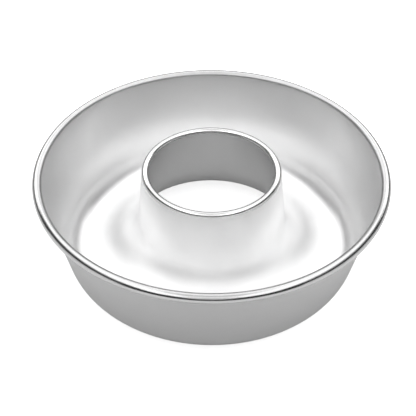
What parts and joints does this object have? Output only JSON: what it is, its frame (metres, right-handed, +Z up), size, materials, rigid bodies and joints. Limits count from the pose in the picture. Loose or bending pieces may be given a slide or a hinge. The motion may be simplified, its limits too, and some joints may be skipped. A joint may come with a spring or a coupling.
{
  "type": "ring mould pan",
  "caption": "Round smooth ring mould for baking, with a plain channel, an open centre cone and rolled wired edges.",
  "frame": {"origin": "centre of the base, on the plane that the pan stands on", "axes": "+Z up along the axis of revolution, out of the open side of the channel"},
  "size_m": [0.24, 0.24, 0.0725],
  "materials": {
    "anodised_sheet": "satin anodised, fine spun marks",
    "edge_wire": "drawn galvanised wire"
  },
  "bodies": {
    "root": {"pan_shell": "anodised_sheet", "rim_wire": "edge_wire", "cone_wire": "edge_wire"}
  },
  "joints": []
}
